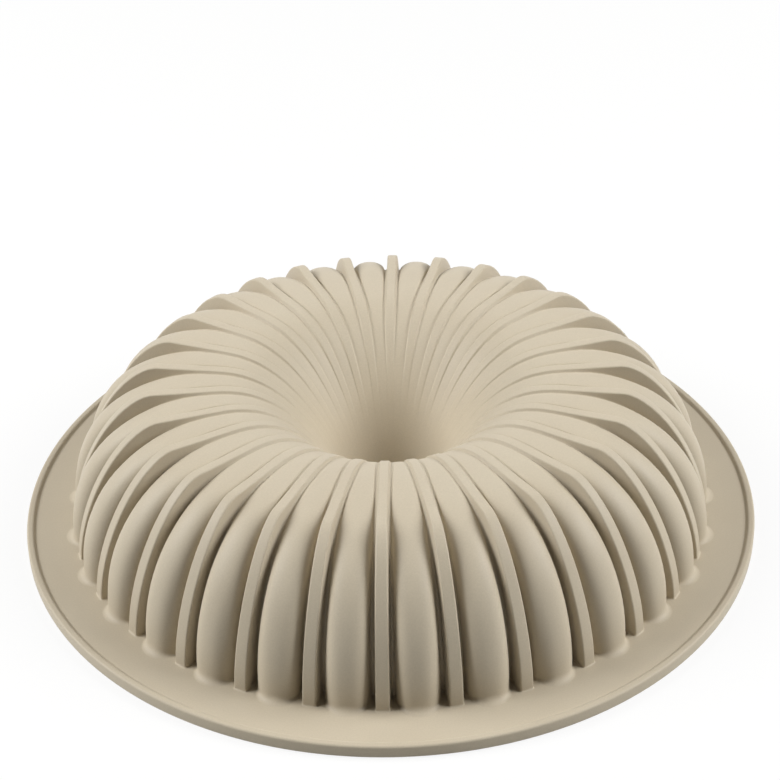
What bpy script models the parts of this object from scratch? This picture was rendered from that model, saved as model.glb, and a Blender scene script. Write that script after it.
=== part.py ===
"""A fluted ring cake mould in silicone, lying crown up on its rim, with the wire ring inside the rim's bead.

The mould is one pressing. Going out from the middle it is a funnel closed at its tip, a level crest, a flank
down to the brim, and a bead round the edge. Narrow flat fins and round lobes take turns round it, with a
groove on each side of every fin. The cake side follows the outside, one wall further in.

Metres, +Z up, one fin towards -Y. Run it with: blender --background --python part.py
"""

import math

import bmesh
import bpy
from mathutils import Vector

MM = 0.001

# Plan, from the axis outwards
FLUTES = 30
FUNNEL_TIP_RADIUS = 11.9 * MM
FUNNEL_RUN = 47.1 * MM
CREST_WIDTH = 21.3 * MM
FLANK_RUN = 30.0 * MM
BRIM_WIDTH = 16.7 * MM

# Heights
CREST_RISE = 49.8 * MM
BRIM_THICKNESS = 2.0 * MM
BEAD_STEP = 0.8 * MM
WALL = 1.4 * MM

# Fins, grooves and lobes
FIN_CREST_THICKNESS = 4.1 * MM
FIN_FOOT_THICKNESS = 4.65 * MM
FIN_DRAFT = 0.2 * MM
GROOVE_CREST_WIDTH = 0.8 * MM
GROOVE_FLANK_WIDTH = 2.5 * MM
GROOVE_WIDENING_RUN = 33.0 * MM
GROOVE_CREST_DEPTH = 1.0 * MM
GROOVE_FOOT_DEPTH = 6.5 * MM
LOBE_DROP = 0.4 * MM
LOBE_FOOT_INSET = 1.2 * MM

# How each meridian bends: a larger power keeps its shoulder fuller
FUNNEL_POWER = 2.43
FIN_POWER = 1.6
LOBE_POWER = 2.35
GROOVE_POWER = 2.23

# Wire ring in the rim's bead
WIRE_DIAMETER = 2.0 * MM
WIRE_GAP = 0.3 * MM
WIRE_COVER = 0.85 * MM
BEAD_CROWN_WIDTH = 3.2 * MM
BEAD_EDGE = 0.8 * MM
PIN_WINDOWS = 6
PIN_WINDOW_LENGTH = 4.0 * MM
PIN_WINDOW_WIDTH = 1.4 * MM

# What follows from them
PITCH = math.tau / FLUTES
CREST_START = FUNNEL_TIP_RADIUS + FUNNEL_RUN
FIN_CORNER = CREST_START + CREST_WIDTH
FIN_FOOT = FIN_CORNER + FLANK_RUN
LOBE_FOOT = FIN_FOOT - LOBE_FOOT_INSET
GROOVE_FOOT = FIN_FOOT - GROOVE_FOOT_DEPTH
RIM_RADIUS = FIN_FOOT + BRIM_WIDTH
CHANNEL_RADIUS = WIRE_DIAMETER / 2 + WIRE_GAP
BEAD_HEIGHT = 2 * (CHANNEL_RADIUS + WIRE_COVER)
WIRE_HEIGHT = BEAD_HEIGHT / 2
WIRE_RADIUS = RIM_RADIUS - WIRE_COVER - CHANNEL_RADIUS
BRIM_TOP = BEAD_HEIGHT - BEAD_STEP
BRIM_UNDERSIDE = BRIM_TOP - BRIM_THICKNESS
CREST_TOP = BRIM_TOP + CREST_RISE

# How finely the curves are cut
FLANK_RAYS = (90, 77, 67.8, 58, 47, 34, 20, 0)
CAKE_SIDE_RAYS = (90, 67.8, 52, 34, 17, 0)
FLUTED_FUNNEL_STEPS = (0.45, 0.2)
PLAIN_FUNNEL_STEPS = (1.0, 0.72)
CAKE_SIDE_FUNNEL_STEPS = (0.22, 0.48, 0.74, 1.0)
FLUTES_START = 0.72
LOBE_SHOULDER = 0.72
PLAIN_PER_FLUTE = 3
WIRE_SEGMENTS = 60
WIRE_SIDES = 8
WELD = 0.01 * MM

# One flute's columns, from the fin's near edge to the next fin's groove, and the plain column each joins
FLUTE_COLUMNS = (
    ("fin", -1, 0),
    ("fin", 1, 0),
    ("groove_inner", 1, 1),
    ("groove_outer", 1, 1),
    ("lobe", -LOBE_SHOULDER, 1),
    ("lobe", 0, 1),
    ("lobe", LOBE_SHOULDER, 2),
    ("groove_outer", -1, 2),
    ("groove_inner", -1, 2),
)


def material(name, colour, roughness, metallic):
    made = bpy.data.materials.new(name)
    made.use_nodes = True
    shader = made.node_tree.nodes["Principled BSDF"]
    shader.inputs["Base Color"].default_value = (*colour, 1)
    shader.inputs["Roughness"].default_value = roughness
    shader.inputs["Metallic"].default_value = metallic
    made.diffuse_color = (*colour, 1)
    return made


def named_object(name, mesh, collection):
    made = bpy.data.objects.new(name, mesh)
    collection.objects.link(made)
    return made


def blend(start, end, share):
    return start + (end - start) * min(max(share, 0), 1)


def shoulder(corner, foot, top, base, power, ray):
    """Where a ray from the crest's start, at the base, meets a level top and the rounded flank beyond it."""
    angle = math.radians(ray)
    run = foot - corner
    rise = top - base

    def on_flank(turn):
        across = math.sin(turn) ** (2 / power)
        up = math.cos(turn) ** (2 / power)
        return corner + run * across, base + rise * up

    if math.atan2(rise, corner - CREST_START) <= angle:
        return CREST_START + rise / math.tan(angle), top
    low, high = 0.0, math.pi / 2
    for _ in range(40):
        middle = (low + high) / 2
        radius, height = on_flank(middle)
        if math.atan2(height - base, radius - CREST_START) > angle:
            low = middle
        else:
            high = middle
    return on_flank(high)


def funnel(tip_radius, tip_height, top, step):
    """A point on the funnel, with the step from 0 at the crest to 1 at the tip."""
    radius = CREST_START - (CREST_START - tip_radius) * step
    return radius, top - (top - tip_height) * step**FUNNEL_POWER


def section(fin, lobe, groove, wall):
    """The sizes of one fluted row, on the outside or one wall further in."""
    down = (fin[0] - FIN_CORNER) / FLANK_RUN
    thickness = blend(FIN_CREST_THICKNESS, FIN_FOOT_THICKNESS, down)
    widening = (lobe[0] - CREST_START) / GROOVE_WIDENING_RUN
    width = blend(GROOVE_CREST_WIDTH, GROOVE_FLANK_WIDTH, widening)
    return {
        "fin": fin,
        "lobe": lobe,
        "groove": groove,
        "fin_half": thickness / 2 - wall,
        "groove_inner": thickness / 2 + FIN_DRAFT - wall,
        "groove_outer": thickness / 2 + FIN_DRAFT + width + wall,
    }


def outside_flank(ray):
    return section(
        shoulder(FIN_CORNER, FIN_FOOT, CREST_TOP, BRIM_TOP, FIN_POWER, ray),
        shoulder(CREST_START, LOBE_FOOT, CREST_TOP - LOBE_DROP, BRIM_TOP, LOBE_POWER, ray),
        shoulder(CREST_START, GROOVE_FOOT, CREST_TOP - GROOVE_CREST_DEPTH, BRIM_TOP, GROOVE_POWER, ray),
        0,
    )


def cake_side_flank(ray):
    top = CREST_TOP - WALL
    base = BRIM_UNDERSIDE
    return section(
        shoulder(FIN_CORNER, FIN_FOOT - WALL, top, base, FIN_POWER, ray),
        shoulder(CREST_START, LOBE_FOOT - WALL, top - LOBE_DROP, base, LOBE_POWER, ray),
        shoulder(CREST_START, GROOVE_FOOT - WALL, top - GROOVE_CREST_DEPTH, base, GROOVE_POWER, ray),
        WALL,
    )


def outside_funnel(step):
    radius, height = funnel(FUNNEL_TIP_RADIUS, BRIM_TOP, CREST_TOP, step)
    fade = 1 - step / FLUTES_START
    return section(
        (radius, height),
        (radius, height - LOBE_DROP * fade),
        (radius, height - GROOVE_CREST_DEPTH * fade),
        0,
    )


def plain_row(radius, height):
    def place(column):
        flute, number = divmod(column, len(FLUTE_COLUMNS))
        share = FLUTE_COLUMNS[number][2] / PLAIN_PER_FLUTE
        turn = (flute + share) * PITCH
        return Vector((radius * math.sin(turn), -radius * math.cos(turn), height))

    return place


def fluted_row(sizes, crown_only=False):
    """A row through fin, groove and lobe. With crown_only, a lobe keeps only its middle column."""

    def place(column):
        flute, number = divmod(column, len(FLUTE_COLUMNS))
        kind, side, _ = FLUTE_COLUMNS[number]
        groove_radius, groove_height = sizes["groove"]
        edge = math.asin(sizes["groove_outer"] / groove_radius)
        if kind == "fin":
            radius, height = sizes["fin"]
            across = side * sizes["fin_half"]
            turn = flute * PITCH + math.atan2(across, radius)
            radius = math.hypot(radius, across)
        elif kind == "lobe":
            along = math.copysign(1, side) if crown_only and side else side
            arch = math.sqrt(1 - along**2)
            turn = (flute + 0.5) * PITCH + along * (PITCH / 2 - edge)
            radius = groove_radius + (sizes["lobe"][0] - groove_radius) * arch
            height = groove_height + (sizes["lobe"][1] - groove_height) * arch
        else:
            near = math.asin(sizes["groove_inner"] / groove_radius)
            reach = edge if kind == "groove_outer" else near
            turn = (flute + (side < 0)) * PITCH + side * reach
            radius, height = groove_radius, groove_height
        return Vector((radius * math.sin(turn), -radius * math.cos(turn), height))

    return place


def funnel_rows():
    rows = [plain_row(0, BRIM_TOP)]
    for step in PLAIN_FUNNEL_STEPS:
        rows.append(plain_row(*funnel(FUNNEL_TIP_RADIUS, BRIM_TOP, CREST_TOP, step)))
    rows += [fluted_row(outside_funnel(step)) for step in FLUTED_FUNNEL_STEPS]
    return rows


def rim_rows():
    """The brim's top, round the bead, and back along the brim's underside."""
    bead_inside = RIM_RADIUS - BEAD_HEIGHT
    crown_inside = RIM_RADIUS - BEAD_CROWN_WIDTH
    outline = (
        (crown_inside, BRIM_TOP),
        (crown_inside + BEAD_STEP, BEAD_HEIGHT),
        (RIM_RADIUS - BEAD_EDGE, BEAD_HEIGHT),
        (RIM_RADIUS, BEAD_HEIGHT - BEAD_EDGE),
        (RIM_RADIUS, BEAD_EDGE),
        (RIM_RADIUS - BEAD_EDGE, 0),
        (bead_inside, 0),
        (bead_inside, BRIM_UNDERSIDE),
    )
    return [plain_row(radius, height) for radius, height in outline]


def cake_side_rows():
    rows = [fluted_row(cake_side_flank(ray), crown_only=True) for ray in reversed(CAKE_SIDE_RAYS)]
    tip_radius = FUNNEL_TIP_RADIUS + WALL
    tip_height = BRIM_TOP - WALL
    top = CREST_TOP - GROOVE_CREST_DEPTH - WALL
    for step in CAKE_SIDE_FUNNEL_STEPS:
        rows.append(plain_row(*funnel(tip_radius, tip_height, top, step)))
    rows.append(plain_row(0, tip_height))
    return rows


def mould_mesh():
    """The pressing as one grid, a row for each ring and a column for each point of the flutes, welded shut."""
    rows = funnel_rows()
    rows += [fluted_row(outside_flank(ray)) for ray in FLANK_RAYS]
    rows += rim_rows()
    rows += cake_side_rows()
    columns = FLUTES * len(FLUTE_COLUMNS)
    last_row = len(rows) - 1
    grid = bmesh.new()
    bmesh.ops.create_grid(grid, x_segments=columns, y_segments=last_row, size=0.5)
    for vertex in grid.verts:
        column = round((vertex.co.x + 0.5) * columns)
        row = round((vertex.co.y + 0.5) * last_row)
        vertex.co = rows[row](column % columns)
    bmesh.ops.remove_doubles(grid, verts=grid.verts, dist=WELD)
    # The flat underside stays whole, so that no diagonal runs through a pin window.
    above_table = [face for face in grid.faces if any(vertex.co.z > 0 for vertex in face.verts)]
    bmesh.ops.triangulate(grid, faces=above_table)
    bmesh.ops.recalc_face_normals(grid, faces=grid.faces)
    mesh = bpy.data.meshes.new("silicone_mould")
    grid.to_mesh(mesh)
    grid.free()
    return mesh


def ring(name, tube_radius, collection):
    """A closed ring that runs where the rim's wire does."""
    bpy.ops.mesh.primitive_torus_add(
        major_segments=WIRE_SEGMENTS,
        minor_segments=WIRE_SIDES,
        major_radius=WIRE_RADIUS,
        minor_radius=tube_radius,
        location=(0, 0, WIRE_HEIGHT),
    )
    made = bpy.context.object
    made.name = made.data.name = name
    for owner in made.users_collection:
        owner.objects.unlink(made)
    collection.objects.link(made)
    return made


def pin_window(number, collection):
    """A slot through the bead's underside, left by a pin that held the wire while the silicone was pressed."""
    turn = (number + 0.5) * math.tau / PIN_WINDOWS
    depth = 2 * WIRE_HEIGHT
    bpy.ops.mesh.primitive_cube_add(
        size=1,
        location=(WIRE_RADIUS * math.sin(turn), -WIRE_RADIUS * math.cos(turn), WIRE_HEIGHT - depth / 2),
        rotation=(0, 0, turn),
        scale=(PIN_WINDOW_LENGTH, PIN_WINDOW_WIDTH, depth),
    )
    made = bpy.context.object
    made.name = made.data.name = f"pin_window_{number}"
    for owner in made.users_collection:
        owner.objects.unlink(made)
    collection.objects.link(made)
    return made


def cut(body, cutter):
    difference = body.modifiers.new(cutter.name, "BOOLEAN")
    difference.operation = "DIFFERENCE"
    difference.solver = "EXACT"
    difference.object = cutter


def hide_as_cutter(cutter):
    cutter.hide_render = True
    cutter.display_type = "WIRE"


def build():
    for old in list(bpy.data.objects):
        bpy.data.objects.remove(old)
    scene = bpy.context.scene
    parts = bpy.data.collections.new("silicone_cake_mould")
    cutters = bpy.data.collections.new("cutters")
    scene.collection.children.link(parts)
    scene.collection.children.link(cutters)
    cutters.hide_render = True

    mould = named_object("silicone_mould", mould_mesh(), parts)
    mould.data.materials.append(material("taupe_silicone", (0.58, 0.50, 0.40), 0.55, 0))

    channel = ring("wire_channel", CHANNEL_RADIUS, cutters)
    windows = [pin_window(number, cutters) for number in range(PIN_WINDOWS)]
    for cutter in [channel, *windows]:
        hide_as_cutter(cutter)
        cut(mould, cutter)

    wire = ring("rim_wire_ring", WIRE_DIAMETER / 2, parts)
    wire.data.materials.append(material("steel_wire", (0.62, 0.61, 0.59), 0.3, 1))


build()
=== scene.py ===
# %% [markdown]
# # A fluted silicone cake mould
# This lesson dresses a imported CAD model: a ring cake mould pressed in taupe silicone, lying crown up on its
# rim. The frame gives the true size and place of each solid. Every piece made here sits in that frame, so
# nothing is fitted by eye afterwards.

# %% Load the frame
import math

import bmesh
import bpy
from mathutils import Matrix, Vector


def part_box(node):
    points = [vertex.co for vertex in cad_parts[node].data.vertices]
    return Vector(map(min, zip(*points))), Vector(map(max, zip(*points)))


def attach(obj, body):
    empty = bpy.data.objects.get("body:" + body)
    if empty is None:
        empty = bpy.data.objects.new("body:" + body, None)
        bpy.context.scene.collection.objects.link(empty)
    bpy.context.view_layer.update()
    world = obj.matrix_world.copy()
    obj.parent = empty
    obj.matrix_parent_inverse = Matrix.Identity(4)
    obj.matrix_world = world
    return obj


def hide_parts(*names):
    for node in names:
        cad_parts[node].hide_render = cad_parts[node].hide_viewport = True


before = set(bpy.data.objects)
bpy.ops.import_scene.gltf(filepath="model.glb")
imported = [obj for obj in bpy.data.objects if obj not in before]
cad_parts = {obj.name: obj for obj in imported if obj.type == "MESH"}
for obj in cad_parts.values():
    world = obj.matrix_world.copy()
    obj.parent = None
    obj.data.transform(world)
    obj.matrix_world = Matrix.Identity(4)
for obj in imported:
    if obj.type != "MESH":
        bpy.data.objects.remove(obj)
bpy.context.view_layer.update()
MM = 0.001
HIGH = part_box("silicone_mould")[1]
print("CAD nodes:", sorted(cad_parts))
print("rim", round(HIGH.y / MM, 1), "mm from the axis, crest", round(HIGH.z / MM, 1), "mm up")

# %% [markdown]
# ## The sizes
# The rim's radius and the crest's height come from the CAD solid. The rest are the mould's own sizes, each
# measured out from its axis or up from the table, so a reader can hold a ruler against them. The scene adds
# what a faceted solid leaves out: rounded edges, fillets at the feet and a rounded bead.

# %% Sizes of the mould
FLUTES = 30
PITCH = math.tau / FLUTES
RIM_RADIUS = HIGH.y
CREST_TOP = HIGH.z
BRIM_TOP = 3.5 * MM
BRIM_UNDERSIDE = 1.5 * MM
WALL = 1.4 * MM
CREST_START = 59.0 * MM
FIN_CORNER = 80.3 * MM
FIN_FOOT = 110.3 * MM
LOBE_FOOT = 111.0 * MM
GROOVE_FOOT = 102.7 * MM
print("brim", round((RIM_RADIUS - FIN_FOOT) / MM, 1), "mm wide")
print("flutes", round((CREST_TOP - BRIM_TOP) / MM, 1), "mm high")

# %% [markdown]
# ## The curves of a flute, seen from the side
# Every flute leaves the level crest and rolls down to the brim on a curve between a circle and a square. A
# superellipse draws all three curves, with one power for how long it stays level and one for how long it
# stays upright: low ones for the fin, whose flank leans in, and higher ones for the fuller lobe and groove.
# One ray from the crest's start cuts all three, so that they keep in step on the way down. Bisection finds
# the cut, because the curve has no simple formula for it.

# %% Where a ray cuts a flute's curve
FIN_POWERS = (1.6, 1.6)
LOBE_POWERS = (2.6, 2.05)
GROOVE_POWERS = (2.45, 2.05)
LOBE_DROP = 0.4 * MM
GROOVE_DEPTH = 1.0 * MM
BISECTIONS = 30


def brim_level(wall):
    """The brim's top, or its underside for the cake side, which lies one wall further in."""
    return BRIM_UNDERSIDE if wall else BRIM_TOP


def flank_point(corner, foot, top, base, powers, ray):
    """Radius and height where a ray, in degrees above level, meets the crest or the flank beyond it."""
    run, rise, slope = foot - corner, top - base, math.radians(ray)
    if math.atan2(rise, corner - CREST_START) <= slope:
        return Vector((CREST_START + rise / math.tan(slope), top))
    low, high = 0.0, math.pi / 2
    for _ in range(BISECTIONS):
        turn = (low + high) / 2
        radius = corner + run * math.sin(turn) ** (2 / powers[0])
        height = base + rise * math.cos(turn) ** (2 / powers[1])
        if math.atan2(height - base, radius - CREST_START) > slope:
            low = turn
        else:
            high = turn
    return Vector((radius, height))


def fin_fold(ray, wall=0):
    return flank_point(FIN_CORNER, FIN_FOOT - wall, CREST_TOP - wall, brim_level(wall), FIN_POWERS, ray)


def lobe_fold(ray, wall=0):
    top = CREST_TOP - LOBE_DROP - wall
    return flank_point(CREST_START, LOBE_FOOT - wall, top, brim_level(wall), LOBE_POWERS, ray)


def groove_fold(ray, wall=0):
    top = CREST_TOP - GROOVE_DEPTH - wall
    return flank_point(CREST_START, GROOVE_FOOT - wall, top, brim_level(wall), GROOVE_POWERS, ray)


for name, fold in (("fin", fin_fold), ("lobe", lobe_fold), ("groove", groove_fold)):
    print(name, "cut by a ray at 45 degrees:", [round(value / MM, 1) for value in fold(45)], "mm")

# %% [markdown]
# ## The section across half a flute
# Cut across, half a flute runs from the middle of a fin to the middle of the next lobe: a flat face with a
# rounded edge, a steep side, a round-bottomed groove, and a lobe that rises as half an arch. Each column of
# the mesh has one role in that section. Where the section grows shallow or narrow, its roundings shrink with
# it, so that they never run into each other.

# %% One point of the section
FIN_EDGE = 0.55 * MM
FIN_DRAFT = 0.25 * MM
EDGE_OF_HALF_FIN = 0.4
EDGE_OF_DEPTH = 0.45
BOWL_OF_DEPTH = 0.5


def blend(start, end, share):
    return start + (end - start) * share


def section_point(role, value, cut):
    """A vertex of the half flute whose fin points to -Y. The cut gives the row's sizes."""
    half_fin, draft, groove = cut["fin"] / 2, FIN_DRAFT * cut["scale"], cut["groove"]
    depth, drop = cut["depth"], cut["drop"]
    edge = min(FIN_EDGE, EDGE_OF_HALF_FIN * half_fin)
    edge_depth = min(edge, EDGE_OF_DEPTH * depth)
    bowl = min(groove / 2, BOWL_OF_DEPTH * (depth - drop))
    side = sunk = 0.0
    if role == "edge":
        side = half_fin - edge * (1 - math.sin(value))
        sunk = edge_depth * (1 - math.cos(value))
    elif role == "floor":
        side = half_fin + draft + groove / 2 * (1 - math.cos(value))
        sunk = depth - bowl + bowl * math.sin(value)
    elif role == "lobe":
        side = half_fin + draft + groove
        across, along = cut["arch"]
        sunk = blend(depth - bowl, drop, (1 - value**across) ** (1 / along))
    at = cut["face"] + cut["inward"] * sunk
    turn = math.asin(side / at.x)
    if role == "lobe":
        turn = blend(PITCH / 2, turn, value)
    return Vector((at.x * math.sin(turn), -at.x * math.cos(turn), at.y))


print("half a flute takes", round(math.degrees(PITCH / 2), 1), "degrees of the ring")

# %% [markdown]
# ## How the section changes along a flute
# Two powers shape a lobe's arch: it is a soft swell on the crest and in the funnel, and fuller and flatter
# near its foot, as the shading on the real lobes shows. A fin grows a little thicker on its way down, and the
# groove beside it wider. In the funnel all widths narrow in step with the radius. The cake side follows one
# wall further in: there the fin is a slot and the groove a ridge.

# %% Widths and arches
FIN_THICKNESS = (3.4 * MM, 4.4 * MM)
GROOVE_WIDTH = (0.9 * MM, 1.5 * MM)
GROOVE_WIDENING = 50.0 * MM
NARROWING_RADIUS = {"outside": 42.0 * MM, "cake side": 59.0 * MM}
CREST_ARCH, FOOT_ARCH, FUNNEL_ARCH = (2.0, 1.7), (2.5, 2.0), (2.0, 1.0)


def smooth(share):
    """A share from 0 to 1 that starts and ends gently."""
    share = min(max(share, 0), 1)
    return share * share * (3 - 2 * share)


def arch(start, end, share):
    """The two powers that shape a lobe's arch, at a share of the way from one pair to another."""
    return [blend(*pair, smooth(share)) for pair in zip(start, end)]


def widths(radius, down, wall):
    """The fin's and the groove's width at a radius, with the share of the flank that lies behind it."""
    side = "cake side" if wall else "outside"
    scale = min(1, radius / NARROWING_RADIUS[side])
    fin = blend(*FIN_THICKNESS, min(max(down, 0), 1)) - 2 * wall
    groove = blend(*GROOVE_WIDTH, smooth((radius - CREST_START) / GROOVE_WIDENING)) + 2 * wall
    return {"fin": fin * scale, "groove": groove * scale, "scale": scale}


for place, radius, down in (("crest", FIN_CORNER, 0), ("foot", FIN_FOOT, 1)):
    across = widths(radius, down, 0)
    print(f"{place}: fin {across['fin'] / MM:.1f} mm, groove {across['groove'] / MM:.1f} mm")

# %% [markdown]
# ## Rows down the flank
# A flank row is cut by one ray. Each column stops a little above the brim, at its own fillet's height, since
# the fillet takes over from there. The real mould shows a soft flare at the foot of each lobe and hardly any
# at the fins, so a lobe gets the larger fillet, and it grows from the lobe's side to its middle.

# %% Flank rows
FILLETS = {"fin": 0.6 * MM, "edge": 0.5 * MM, "floor": 0.4 * MM}
LOBE_FILLET = (0.5 * MM, 2.6 * MM)
LOBE_FILLET_POWER = 1.5
CAKE_FILLET = 0.6 * MM


def fillet_of(role, value, wall):
    if wall:
        return CAKE_FILLET
    return FILLETS.get(role) or blend(*LOBE_FILLET, (1 - value * value) ** LOBE_FILLET_POWER)


def flank_row(columns, ray, wall=0):
    """One row of the flank. A ray of 0 ends each column at its fillet."""
    row = []
    for role, value in columns:
        foot = {"lobe": LOBE_FOOT, "floor": GROOVE_FOOT}.get(role, FIN_FOOT) - wall
        end = math.degrees(math.atan(fillet_of(role, value, wall) / (foot - CREST_START)))
        own_ray = blend(end, 90, ray / 90)
        face, lobe, floor = fin_fold(own_ray, wall), lobe_fold(own_ray, wall), groove_fold(own_ray, wall)
        down = (face.x - FIN_CORNER) / (FIN_FOOT - FIN_CORNER)
        inward = (floor - face).normalized()
        cut = widths(lobe.x, down, wall) | {"arch": arch(CREST_ARCH, FOOT_ARCH, down)}
        cut |= {"face": face, "inward": inward}
        cut |= {"depth": (floor - face).length, "drop": (lobe - face).dot(inward)}
        row.append(section_point(role, value, cut))
    return row


MIDDLES = flank_row([("fin", 0), ("lobe", 0)], 0)
print("fin and lobe end above the brim by", [round((point.z - BRIM_TOP) / MM, 1) for point in MIDDLES], "mm")

# %% [markdown]
# ## Rolled out onto the brim
# The fillet rows turn the flank's last row out onto the brim along the outline's own normal, so that the
# fillet follows every curve of the flutes in plan. Beyond them the rows ease to plain circles, as the brim is
# round.

# %% Fillet and brim rows
def outline_normals(row):
    """The outline's outward normals in plan. A mirror image continues it past both ends."""
    before = [Vector((-row[1].x, row[1].y, 0))] + row[:-1]
    turn_back = Matrix.Rotation(PITCH / 2, 2)
    last = turn_back.inverted() @ row[-2].xy
    after = row[1:] + [(turn_back @ Vector((-last.x, last.y))).to_3d()]
    normals = []
    for one, two in zip(before, after):
        along = (two.xy - one.xy).normalized()
        normals.append(Vector((along.y, -along.x, 0)))
    return normals


def fillet_row(row, degrees, level, beyond=0):
    """The outline rolled towards level ground by so many degrees, or past it by a distance."""
    turn = math.radians(degrees)
    rolled = []
    for point, normal in zip(row, outline_normals(row)):
        size = point.z - level
        moved = point + normal * (size * (1 - math.cos(turn)) + beyond)
        rolled.append(Vector((moved.x, moved.y, level + size * (1 - math.sin(turn)))))
    return rolled


def ring_row(row, radius, height):
    """The row's own turns about the axis, on a plain circle."""
    return [Vector((*(point.xy.normalized() * radius), height)) for point in row]


LANDED = fillet_row(MIDDLES, 90, BRIM_TOP)
print("fin and lobe reach the brim at", [round(point.xy.length / MM, 1) for point in LANDED], "mm")

# %% [markdown]
# ## Rows of the funnel
# The funnel is one power curve: level where it leaves the crest and steeper all the way down. The photograph
# shows its flutes growing fainter all the way down, with only traces left near the tip, and at its lip each
# lobe dips a little deeper below the fins than it does on the crest. The section sinks square to the funnel's
# wall, not straight down, so the flutes keep their depth where the wall is steep.

# %% Funnel rows
FUNNEL_POWER = 2.43
TIP_RADIUS = 11.9 * MM
LIP_DROP = 0.4 * MM
LIP_STEP = 0.35
FADE_FROM, FADE_TO = 0.1, 0.85
SOFT_STEP = 0.6
SLOT_FADE = 0.12


def funnel_row(columns, step, wall=0):
    """One row of the funnel, with the step from 0 at the crest to 1 at the tip."""
    top, tip = CREST_TOP, Vector((TIP_RADIUS + wall, BRIM_TOP - wall))
    if wall:
        top -= GROOVE_DEPTH + wall
    run, fall = CREST_START - tip.x, top - tip.y
    face = Vector((CREST_START - run * step, top - fall * step**FUNNEL_POWER))
    inward = Vector((fall * FUNNEL_POWER * step ** (FUNNEL_POWER - 1), -run)).normalized()
    if wall:
        fade = 1 - smooth(step / SLOT_FADE)
        depth, drop = GROOVE_DEPTH * fade, LOBE_DROP * fade
        face -= inward * depth
    else:
        fade = 1 - smooth((step - FADE_FROM) / (FADE_TO - FADE_FROM))
        depth, drop = GROOVE_DEPTH * fade, (LOBE_DROP + LIP_DROP * smooth(step / LIP_STEP)) * fade
    cut = widths(face.x, 0, wall) | {"face": face, "inward": inward, "depth": depth, "drop": drop}
    cut["arch"] = arch(CREST_ARCH, FUNNEL_ARCH, step / SOFT_STEP)
    return [section_point(role, value, cut) for role, value in columns]


half_way = funnel_row([("fin", 0)], 0.5)[0]
print("funnel half way:", round(-half_way.y / MM, 1), "mm from the axis,", round(half_way.z / MM, 1), "mm up")

# %% [markdown]
# ## The closed tip
# The tip lies in deep shade in the photograph. Such a funnel is closed, so that the cake gets a hole and the
# oven's air comes up inside it without any batter running out. It is drawn as a level disc whose edge is
# rounded into the wall by a quadratic curve.

# %% Rows of the tip
TIP_ROUND = 3.0 * MM
TIP_ROUND_START = 0.955
TIP_SHARES = (0, 0.25, 0.5, 0.75)
POLE_RADIUS = 0.001 * MM


def tip_rows(columns, wall=0):
    """The disc and its rounded edge, from the pole outwards. The funnel's own rows go on from there."""
    start = funnel_row(columns, TIP_ROUND_START, wall)
    radius, height = start[0].xy.length, start[0].z
    corner, level = TIP_RADIUS + wall, BRIM_TOP - wall
    rows = [ring_row(start, POLE_RADIUS, level)]
    for share in TIP_SHARES:
        back = 1 - share
        outward = back**2 * (corner - TIP_ROUND) + 2 * share * back * corner + share**2 * radius
        rows.append(ring_row(start, outward, level + (height - level) * share**2))
    return rows


print("tip's level disc:", round((TIP_RADIUS - TIP_ROUND) / MM, 1), "mm in radius")

# %% [markdown]
# ## One half flute, mirrored and turned
# A grid has the right layout for a surface whose section changes along its way, and no operator sweeps such a
# section, so the grid's vertices are moved to their rows and columns. The rest is operators: a mirror makes
# the whole flute, a spin in duplicate mode sets the other 29 round the axis, and a weld closes the seams and
# the pole.

# %% Helpers for a fluted shell
WELD = 0.005 * MM
FILLET_HOLD = 0.2 * MM


def shell_rows(columns, steps, rays, fillet_turns, brim_rings, wall=0):
    """All the rows of a half flute, from the pole at the tip out to the brim."""
    level = brim_level(wall)
    rows = tip_rows(columns, wall)
    rows += [funnel_row(columns, step, wall) for step in steps]
    rows += [flank_row(columns, ray, wall) for ray in rays]
    foot = rows[-1]
    rows += [fillet_row(foot, turn, level) for turn in fillet_turns]
    rows.append(fillet_row(foot, 90, level, FILLET_HOLD))
    rows += [ring_row(rows[-1], radius, level) for radius in brim_rings]
    return rows


def half_flute(rows):
    """A grid with its vertices moved to the rows' points."""
    down, along = len(rows) - 1, len(rows[0]) - 1
    grid = bmesh.new()
    bmesh.ops.create_grid(grid, x_segments=along, y_segments=down, size=0.5)
    for vertex in grid.verts:
        vertex.co = rows[round((vertex.co.y + 0.5) * down)][round((vertex.co.x + 0.5) * along)]
    return grid


def all_round(shell):
    """Mirrors a half flute, sets the flutes round the axis and welds them."""
    geometry = shell.verts[:] + shell.edges[:] + shell.faces[:]
    bmesh.ops.mirror(shell, geom=geometry, matrix=Matrix.Identity(4), merge_dist=WELD, axis="X")
    geometry = shell.verts[:] + shell.edges[:] + shell.faces[:]
    bmesh.ops.spin(
        shell, geom=geometry, cent=(0, 0, 0), axis=(0, 0, 1),
        angle=PITCH * (FLUTES - 1), steps=FLUTES - 1, use_duplicate=True,
    )
    bmesh.ops.remove_doubles(shell, verts=shell.verts, dist=WELD)
    mesh = bpy.data.meshes.new("shell")
    shell.to_mesh(mesh)
    shell.free()
    return mesh


print("seams within", round(WELD / MM, 3), "mm are welded")

# %% [markdown]
# ## The outside
# The outside is what the photograph shows, so it gets the finer mesh. Columns crowd where the section turns
# sharply, at the fin's edge and in the groove, and rows crowd where the flank rolls over from the crest.

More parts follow.
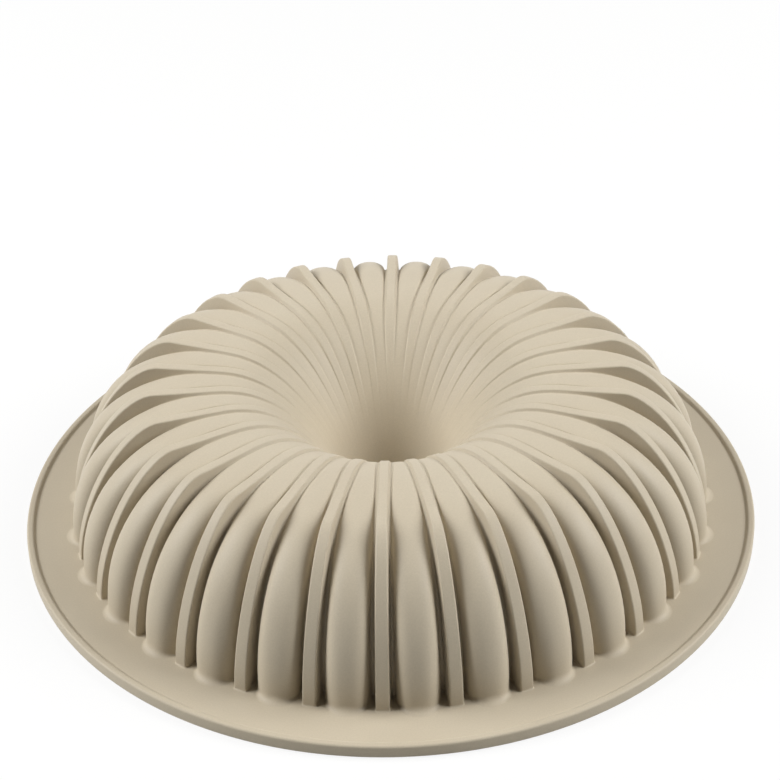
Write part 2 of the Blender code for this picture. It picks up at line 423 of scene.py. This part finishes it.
# %% The outside's shell
FUNNEL_STEPS = (0.955, 0.9, 0.83, 0.76, 0.69, 0.62, 0.55, 0.48, 0.41, 0.34, 0.27, 0.2, 0.13, 0.06)
FLANK_RAYS = (
    90, 84, 78, 73, 69.5, 66.8, 64.5, 62, 59, 55.5, 52, 48, 44,
    40, 36, 32, 28, 24, 20.5, 17, 13.5, 10, 7, 4, 2, 0,
)
FILLET_TURNS = (22.5, 45, 67.5, 90)
BRIM_RINGS = (115.0 * MM, 116.0 * MM)
COLUMNS = (
    [("fin", 0)]
    + [("edge", math.radians(turn)) for turn in (0, 30, 60, 90)]
    + [("floor", math.radians(turn)) for turn in (0, 36, 72, 108, 144)]
    + [("lobe", share) for share in (1, 0.965, 0.88, 0.76, 0.6, 0.42, 0.22, 0)]
)

rows = shell_rows(COLUMNS, FUNNEL_STEPS, FLANK_RAYS, FILLET_TURNS, BRIM_RINGS)
OUTSIDE = all_round(half_flute(rows))
print("outside:", len(rows), "rows,", len(OUTSIDE.vertices), "vertices")

# %% [markdown]
# ## The cake side
# The cake side is what shapes the cake, and it shows when the mould is turned over. It has the same flutes
# one wall further in, so the same rules make it with the wall given, and fewer rows and columns serve its
# softer section.

# %% The cake side's shell
CAKE_FUNNEL_STEPS = (0.955, 0.88, 0.78, 0.68, 0.58, 0.48, 0.38, 0.28, 0.18, 0.12, 0.05)
CAKE_RAYS = (90, 82, 74, 68, 64, 59, 53, 47, 41, 35, 29, 23, 17.5, 12, 7, 3, 0)
CAKE_FILLET_TURNS = (30, 60, 90)
CAKE_BRIM_RINGS = (111.5 * MM,)
CAKE_COLUMNS = (
    [("fin", 0)]
    + [("edge", math.radians(turn)) for turn in (0, 45, 90)]
    + [("floor", math.radians(turn)) for turn in (0, 60, 120)]
    + [("lobe", share) for share in (1, 0.92, 0.72, 0.4, 0)]
)

rows = shell_rows(CAKE_COLUMNS, CAKE_FUNNEL_STEPS, CAKE_RAYS, CAKE_FILLET_TURNS, CAKE_BRIM_RINGS, WALL)
CAKE_SIDE = all_round(half_flute(rows))
print("cake side:", len(rows), "rows,", len(CAKE_SIDE.vertices), "vertices")

# %% [markdown]
# ## The rim
# The brim and its bead have the same section all the way round, which is exactly what a spin makes. A few
# vertices draw the section, the spin turns it, and bevels round the bead's edges. The bead stands a little
# proud of the brim, because the silicone there goes round a steel wire. The rim is made as a closed ring
# first, since the wire's channel is cut out of it next. Its inner band, which closes the ring, runs a
# hundredth of a millimetre off the brim's two flats, and goes again when the shells are joined.

# %% The rim's section
BEAD_HEIGHT = 4.5 * MM
LOOP_STEP = 0.01 * MM
RIM_SECTION = {
    "brim top": (117.0 * MM, BRIM_TOP - LOOP_STEP),
    "bead's inner foot": (RIM_RADIUS - 3.1 * MM, BRIM_TOP),
    "bead's inner edge": (RIM_RADIUS - 2.1 * MM, BEAD_HEIGHT),
    "bead's outer edge": (RIM_RADIUS, BEAD_HEIGHT),
    "rim's lower edge": (RIM_RADIUS, 0.0),
    "underside's inner edge": (RIM_RADIUS - 4.3 * MM, 0.0),
    "underside's inner corner": (RIM_RADIUS - 4.3 * MM, BRIM_UNDERSIDE),
    "brim underside": (113.0 * MM, BRIM_UNDERSIDE + LOOP_STEP),
}
BEAD_ROUNDING = {
    "bead's inner foot": 0.3 * MM,
    "bead's inner edge": 0.4 * MM,
    "bead's outer edge": 0.8 * MM,
    "rim's lower edge": 0.6 * MM,
    "underside's inner edge": 0.4 * MM,
    "underside's inner corner": 0.3 * MM,
}
print("the bead stands", round((BEAD_HEIGHT - BRIM_TOP) / MM, 1), "mm proud of the brim")

# %% Spin the rim and round its bead
RIM_STEPS = 240
SPIN_WELD = 0.1 * WELD
BEVEL_SEGMENTS = 3


def ring_edges(shell, radius, height):
    """The edges of one ring of the spun section."""
    near = [v for v in shell.verts if abs(v.co.z - height) < WELD and abs(v.co.xy.length - radius) < WELD]
    return [edge for edge in {e for v in near for e in v.link_edges} if set(edge.verts) <= set(near)]


def spun(shell, geometry, steps):
    """Turns a closed section all the way round the axis and faces it outwards."""
    bmesh.ops.spin(
        shell, geom=geometry, cent=(0, 0, 0), axis=(0, 0, 1), angle=math.tau, steps=steps, use_merge=True
    )
    bmesh.ops.remove_doubles(shell, verts=shell.verts, dist=SPIN_WELD)
    bmesh.ops.recalc_face_normals(shell, faces=shell.faces)


def as_object(shell, name):
    mesh = bpy.data.meshes.new(name)
    shell.to_mesh(mesh)
    shell.free()
    made = bpy.data.objects.new(name, mesh)
    bpy.context.scene.collection.objects.link(made)
    return made


shell = bmesh.new()
section = [shell.verts.new((0, -radius, height)) for radius, height in RIM_SECTION.values()]
lines = [shell.edges.new(pair) for pair in zip(section, section[1:] + section[:1])]
spun(shell, section + lines, RIM_STEPS)
for name, rounding in BEAD_ROUNDING.items():
    bmesh.ops.bevel(
        shell, geom=ring_edges(shell, *RIM_SECTION[name]), offset=rounding, offset_type="OFFSET",
        segments=BEVEL_SEGMENTS, profile=0.5, affect="EDGES", material=-1,
    )
RIM = as_object(shell, "rim")
print("rim:", len(RIM.data.polygons), "faces")

# %% [markdown]
# ## The wire and its channel
# A wire ring inside the bead keeps the limp silicone in shape. The photograph can't show it, so its section
# is a guess that fits the bead. The wire and the cutter of its channel are the same spun circle, the cutter
# larger by the gap.

# %% The wire ring and its channel's cutter
WIRE_RADIUS = 1.0 * MM
WIRE_GAP = 0.3 * MM
WIRE_RING_RADIUS = 124.85 * MM
WIRE_HEIGHT = 2.15 * MM
WIRE_SIDES, CHANNEL_SIDES = 20, 16
WIRE_STEPS = 180


def wire_ring(name, radius, sides):
    """A circle of wire section, spun about the mould's axis."""
    shell = bmesh.new()
    stand = Matrix.Translation((0, -WIRE_RING_RADIUS, WIRE_HEIGHT)) @ Matrix.Rotation(math.pi / 2, 4, "Y")
    made = bmesh.ops.create_circle(shell, segments=sides, radius=radius, matrix=stand)
    spun(shell, made["verts"] + shell.edges[:], WIRE_STEPS)
    return as_object(shell, name)


WIRE = wire_ring("steel_wire_ring", WIRE_RADIUS, WIRE_SIDES)
CHANNEL = wire_ring("channel_cutter", WIRE_RADIUS + WIRE_GAP, CHANNEL_SIDES)
print("wire:", len(WIRE.data.polygons), "faces; channel cutter:", len(CHANNEL.data.polygons), "faces")

# %% [markdown]
# ## Cut the channel and the pin windows
# Pins in the press hold the wire in place, and each leaves a small window on the underside. Boolean modifiers
# cut the rim, because the windows break through a curved channel. Cutting the rim alone, before the flutes
# are joined on, keeps the Boolean small.

# %% The cut rim
WINDOWS = 6
WINDOW_SIZE = (4.0 * MM, 1.4 * MM)
FIRST_WINDOW = 2.5 * PITCH

shell = bmesh.new()
for window in range(WINDOWS):
    around = Matrix.Rotation(FIRST_WINDOW + math.tau * window / WINDOWS, 4, "Z")
    place = around @ Matrix.Translation((0, -WIRE_RING_RADIUS, 0))
    size = Matrix.Diagonal((*WINDOW_SIZE, 2 * WIRE_HEIGHT, 1))
    bmesh.ops.create_cube(shell, size=1, matrix=place @ size)
PINS = as_object(shell, "window_cutter")
for cutter in (CHANNEL, PINS):
    cut = RIM.modifiers.new(cutter.name, "BOOLEAN")
    cut.operation, cut.solver, cut.object = "DIFFERENCE", "EXACT", cutter
bpy.context.view_layer.update()
CUT_RIM = bpy.data.meshes.new_from_object(RIM.evaluated_get(bpy.context.evaluated_depsgraph_get()))
for used in (RIM, CHANNEL, PINS):
    bpy.data.objects.remove(used)
print("cut rim:", len(CUT_RIM.polygons), "faces")

# %% [markdown]
# ## One closed pressing
# The real mould is one piece, so the three shells become one closed mesh. The rim's inner band goes, and two
# bridges close the gaps. They lie on the flats of the brim, where a bridge between loops of different counts
# can't be seen. A bridge tells which way round two loops run from the step between them, which is why the
# rim's open loops sit that hundredth of a millimetre off the flats.

# %% Join the shells
def open_loops(shell, height):
    return [e for e in shell.edges if e.is_boundary and abs(e.verts[0].co.z - height) < 3 * LOOP_STEP]


pressing = bmesh.new()
pressing.from_mesh(CUT_RIM)
inner = RIM_SECTION["brim top"][0] + WELD
band = [face for face in pressing.faces if all(v.co.xy.length < inner for v in face.verts)]
bmesh.ops.delete(pressing, geom=band, context="FACES")
for mesh in (OUTSIDE, CAKE_SIDE):
    pressing.from_mesh(mesh)
for height in (BRIM_TOP, BRIM_UNDERSIDE):
    bmesh.ops.bridge_loops(pressing, edges=open_loops(pressing, height))
bmesh.ops.recalc_face_normals(pressing, faces=pressing.faces)
open_edges = sum(1 for edge in pressing.edges if not edge.is_manifold)
litres = pressing.calc_volume() * 1000
MOULD = as_object(pressing, "mould_body")
print("pressing:", len(MOULD.data.polygons), "faces,", open_edges, "open edges")
print("silicone:", round(litres, 3), "litres")

# %% [markdown]
# ## Smooth shading with crisp flats
# The fins' faces and the brim are flat, and the narrow roundings beside them must not pull their shading
# round. A Weighted Normal modifier lets the larger face decide, so the flats stay flat without extra rows.

# %% Shade the pieces
SHARP = math.radians(50)

for piece in (MOULD, WIRE):
    piece.data.shade_smooth()
    piece.data.set_sharp_from_angle(angle=SHARP)
even = MOULD.modifiers.new("flats", "WEIGHTED_NORMAL")
even.mode, even.keep_sharp = "FACE_AREA", True
for piece, node, slot in ((MOULD, "silicone_mould", "silicone"), (WIRE, "rim_wire_ring", "steel_wire")):
    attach(piece, "root")
    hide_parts(node)

# %% [markdown]
# ## Node helpers
# Every finish below is a small graph of nodes. One helper adds a node with its settings and links, and one
# turns a colour as it is read off a screen, in sRGB hex, into the linear light that the renderer works in.

# %% Colours and nodes
def linear(code):
    """An sRGB hex colour as linear RGBA."""
    parts = [int(code[at : at + 2], 16) / 255 for at in (1, 3, 5)]
    return [part / 12.92 if part <= 0.04045 else ((part + 0.055) / 1.055) ** 2.4 for part in parts] + [1]


def node(tree, kind, settings=(), **inputs):
    """Adds a node with its settings. An input is a value, or an output to link.

    An input goes by its name, or as _6 by its place, where inputs share a name or have none.
    """
    made = tree.nodes.new("ShaderNode" + kind)
    for name, value in dict(settings).items():
        setattr(made, name, value)
    for name, value in inputs.items():
        socket = made.inputs[int(name[1:])] if name[1:].isdigit() else made.inputs[name.replace("_", " ")]
        if isinstance(value, bpy.types.NodeSocket):
            tree.links.new(value, socket)
        else:
            socket.default_value = value
    return made


def new_material(name):
    """A material with an empty graph and its output."""
    material = bpy.data.materials.new(name)
    material.use_nodes = True
    material.node_tree.nodes.clear()
    return material, material.node_tree, material.node_tree.nodes.new("ShaderNodeOutputMaterial")


print("a taupe in linear light:", [round(part, 3) for part in linear("#C1B59F")[:3]])

# %% [markdown]
# ## Pressed silicone rubber
# The mould is platinum-cured silicone rubber, pressed and cured between steel tools that are blasted to a
# fine matt grain. It is soft to the eye: a broad weak sheen instead of clear reflections. Silicone's index of
# refraction is 1.41. The pigment is a warm taupe, and a pressing shows faint clouds where it flowed, some
# 25 mm across. The tool's grain is about 0.15 mm, finer than a pixel here, so it is drawn at 0.5 mm. A noise
# texture's values lie mostly between 0.3 and 0.7, so that range is spread over each effect.

# %% Pressed taupe silicone
CLOUD = 25 * MM
GRAIN = 0.5 * MM
TAUPES = ("#BDB19B", "#C4B9A4")
NOISE_RANGE = {"From_Min": 0.3, "From_Max": 0.7}

silicone, tree, out = new_material("pressed_taupe_silicone")
place = node(tree, "TexCoord").outputs["Object"]
clouds = node(tree, "TexNoise", Vector=place, Scale=1 / CLOUD, Detail=2, Roughness=0.5).outputs["Fac"]
grain = node(tree, "TexNoise", Vector=place, Scale=1 / GRAIN, Detail=1, Roughness=0.5).outputs["Fac"]
flow = node(
    tree, "Mix", {"data_type": "RGBA"}, Factor=clouds, _6=linear(TAUPES[0]), _7=linear(TAUPES[1]),
)
speck = node(tree, "MapRange", Value=grain, To_Min=0.97, To_Max=1.03, **NOISE_RANGE)
tint = node(
    tree, "VectorMath", {"operation": "SCALE"}, _0=flow.outputs[2], Scale=speck.outputs["Result"],
)
dull = node(tree, "MapRange", Value=clouds, To_Min=0.5, To_Max=0.58, **NOISE_RANGE)
relief = node(tree, "Bump", Strength=0.15, Distance=0.05 * MM, Height=grain)
skin = node(
    tree, "BsdfPrincipled", Base_Color=tint.outputs["Vector"], Roughness=dull.outputs["Result"],
    IOR=1.41, Normal=relief.outputs["Normal"], Sheen_Weight=0.12, Sheen_Roughness=0.5,
)
tree.links.new(skin.outputs["BSDF"], out.inputs["Surface"])
MOULD.data.materials.append(silicone)
print("silicone nodes:", len(tree.nodes))

# %% [markdown]
# ## Drawn steel wire
# The wire is plain drawn steel. Drawing pulls it through a die, which leaves fine lines along its length.
# Along the ring means round the axis, so the pattern's coordinates are the turn, stretched long, and the
# radius and height, kept short.

# %% Drawn steel
STREAK = 0.25 * MM
STREAK_LENGTH = 12 * MM
STEELS = ("#A7A5A1", "#C2C0BC")

steel, tree, out = new_material("drawn_steel_wire")
place = node(tree, "TexCoord").outputs["Object"]
axes = node(tree, "SeparateXYZ", Vector=place).outputs
turn = node(tree, "Math", {"operation": "ARCTAN2"}, _0=axes["Y"], _1=axes["X"])
flat = node(tree, "CombineXYZ", X=axes["X"], Y=axes["Y"])
radius = node(tree, "VectorMath", {"operation": "LENGTH"}, _0=flat.outputs["Vector"])
along = node(
    tree, "Math", {"operation": "MULTIPLY"}, _0=turn.outputs[0], _1=WIRE_RING_RADIUS * STREAK / STREAK_LENGTH,
)
drawn = node(tree, "CombineXYZ", X=along.outputs[0], Y=radius.outputs["Value"], Z=axes["Z"])
streaks = node(tree, "TexNoise", Vector=drawn.outputs["Vector"], Scale=1 / STREAK, Detail=2).outputs["Fac"]
tint = node(
    tree, "Mix", {"data_type": "RGBA"}, Factor=streaks, _6=linear(STEELS[0]), _7=linear(STEELS[1]),
)
dull = node(tree, "MapRange", Value=streaks, To_Min=0.28, To_Max=0.42, **NOISE_RANGE)
relief = node(tree, "Bump", Strength=0.3, Distance=0.01 * MM, Height=streaks)
skin = node(
    tree, "BsdfPrincipled", Base_Color=tint.outputs[2], Metallic=1.0,
    Roughness=dull.outputs["Result"], Normal=relief.outputs["Normal"],
)
tree.links.new(skin.outputs["BSDF"], out.inputs["Surface"])
WIRE.data.materials.append(steel)
print("wire nodes:", len(tree.nodes))

# %% [markdown]
# ## A white table
# The photograph's ground is pure white with no edge. The table is a large matt white sheet. To the camera it
# is mostly its own white, so that it reads as paper, and the rest is lit in the usual way, so that the
# mould's shadow stays on it. To the mould it is a pale grey: the photograph's rim and the foot of its flanks
# are dark, so little light came back up from the ground there.

# %% The table
TABLE_REACH = 6.0
TABLE_GAP = 0.1 * MM
OWN_WHITE = 0.85
GREY_TO_MOULD, WHITE_TO_CAMERA = "#CCCCCA", "#F4F4F2"


def seen_rays(tree):
    """1 where a ray shows the surface, straight or in a reflection, and 0 where it carries light on."""
    rays = node(tree, "LightPath").outputs
    seen = node(tree, "Math", {"operation": "MAXIMUM"}, _0=rays["Is Camera Ray"], _1=rays["Is Glossy Ray"])
    seen = node(tree, "Math", {"operation": "MAXIMUM"}, _0=seen.outputs[0], _1=rays["Is Transmission Ray"])
    return seen.outputs[0]


sheet = bmesh.new()
below = Matrix.Translation((0, 0, -TABLE_GAP))
bmesh.ops.create_grid(sheet, x_segments=1, y_segments=1, size=TABLE_REACH, matrix=below)
TABLE = as_object(sheet, "table_sheet")
paper, tree, out = new_material("matt_white_paper")
seen = seen_rays(tree)
share = node(tree, "Math", {"operation": "MULTIPLY"}, _0=seen, _1=OWN_WHITE)
tone = node(
    tree, "Mix", {"data_type": "RGBA"}, Factor=seen, _6=linear(GREY_TO_MOULD), _7=linear(WHITE_TO_CAMERA),
)
matt = node(tree, "BsdfDiffuse", Color=tone.outputs[2])
white = node(tree, "Emission", Color=linear("#FFFFFF"), Strength=1.0)
both = node(tree, "MixShader", _0=share.outputs[0], _1=matt.outputs[0], _2=white.outputs[0])
tree.links.new(both.outputs[0], out.inputs["Surface"])
TABLE.data.materials.append(paper)
print("table:", [round(side) for side in TABLE.dimensions.xy], "m")

# %% [markdown]
# ## Soft studio light
# The mould is lit as a small product on a table is: a softbox on each side, and faint ones behind and
# overhead that keep the funnel and the far flank from going black. The side lights rake across the fins, so
# each lobe is bright on its shoulders and dark in the grooves, which no light reaches. Together they light a
# level surface about a fifth more strongly than a strength of 1, so a colour renders about as it is written.

# %% Softboxes
LIGHT_DISTANCE = 1.4
LIGHT_SIZE = 0.8
# Each has its turn from the front and its height in degrees, and its power in watts.
LIGHTS = {
    "left_softbox": (270, 38, 19.5),
    "right_softbox": (90, 38, 19.1),
    "back_softbox": (180, 38, 1.1),
    "overhead_softbox": (0, 90, 0.4),
}

for name, (azimuth, elevation, power) in LIGHTS.items():
    lamp = bpy.data.lights.new(name, "AREA")
    lamp.shape, lamp.size, lamp.energy = "SQUARE", LIGHT_SIZE, power
    box = bpy.data.objects.new(name, lamp)
    around = Matrix.Rotation(math.radians(azimuth), 3, "Z")
    aimed = around @ Matrix.Rotation(math.radians(90 - elevation), 3, "X")
    box.location = aimed @ Vector((0, 0, LIGHT_DISTANCE))
    box.rotation_euler = aimed.to_euler()
    bpy.context.scene.collection.objects.link(box)
print("lights:", len(LIGHTS), "with", round(sum(light[2] for light in LIGHTS.values()), 1), "W")

# %% [markdown]
# ## The world round it
# The world is white to the camera, so that the ground has no edge, and hardly any fill to the mould, so that
# its grooves stay dark. The Standard view shows colours as they are, without a film look.

# %% World and view
WORLD_FILL = 0.005

world = bpy.data.worlds.new("studio")
world.use_nodes = True
tree = world.node_tree
tree.nodes.clear()
level = node(tree, "MapRange", Value=seen_rays(tree), To_Min=WORLD_FILL, To_Max=1.0)
sky = node(tree, "Background", Color=linear("#FFFFFF"), Strength=level.outputs["Result"])
out = tree.nodes.new("ShaderNodeOutputWorld")
tree.links.new(sky.outputs[0], out.inputs["Surface"])
bpy.context.scene.world = world
bpy.context.scene.view_settings.view_transform = "Standard"
print("world nodes:", len(tree.nodes))

# %% [markdown]
# ## The camera
# The camera was worked out from the photograph: the rim's ellipse and the fins' feet fix its distance, height
# and focal length together. It looks down at 34 degrees from the front, a touch to the right.

# %% Camera
CAMERA_AT = (0.0200, -0.5743, 0.4380)
CAMERA_AIM = (-0.0006, 0.0418, 0.0200)
CAMERA_ROLL = -1.31
CAMERA_LENS, SENSOR_WIDTH = 94.1, 36

camera = bpy.data.objects.new("camera", bpy.data.cameras.new("camera"))
camera.data.lens, camera.data.sensor_width = CAMERA_LENS, SENSOR_WIDTH
camera.location = CAMERA_AT
ahead = Vector(CAMERA_AIM) - Vector(CAMERA_AT)
aim = ahead.to_track_quat("-Z", "Y").to_matrix()
camera.rotation_euler = (aim @ Matrix.Rotation(math.radians(CAMERA_ROLL), 3, "Z")).to_euler()
bpy.context.scene.collection.objects.link(camera)
bpy.context.scene.camera = camera
print("camera looks down", round(math.degrees(math.asin(-ahead.normalized().z))), "degrees")

# %% [markdown]
# ## Finish
# The last step updates the view layer, so that every piece stands in its final place.

# %% Finish
bpy.context.view_layer.update()
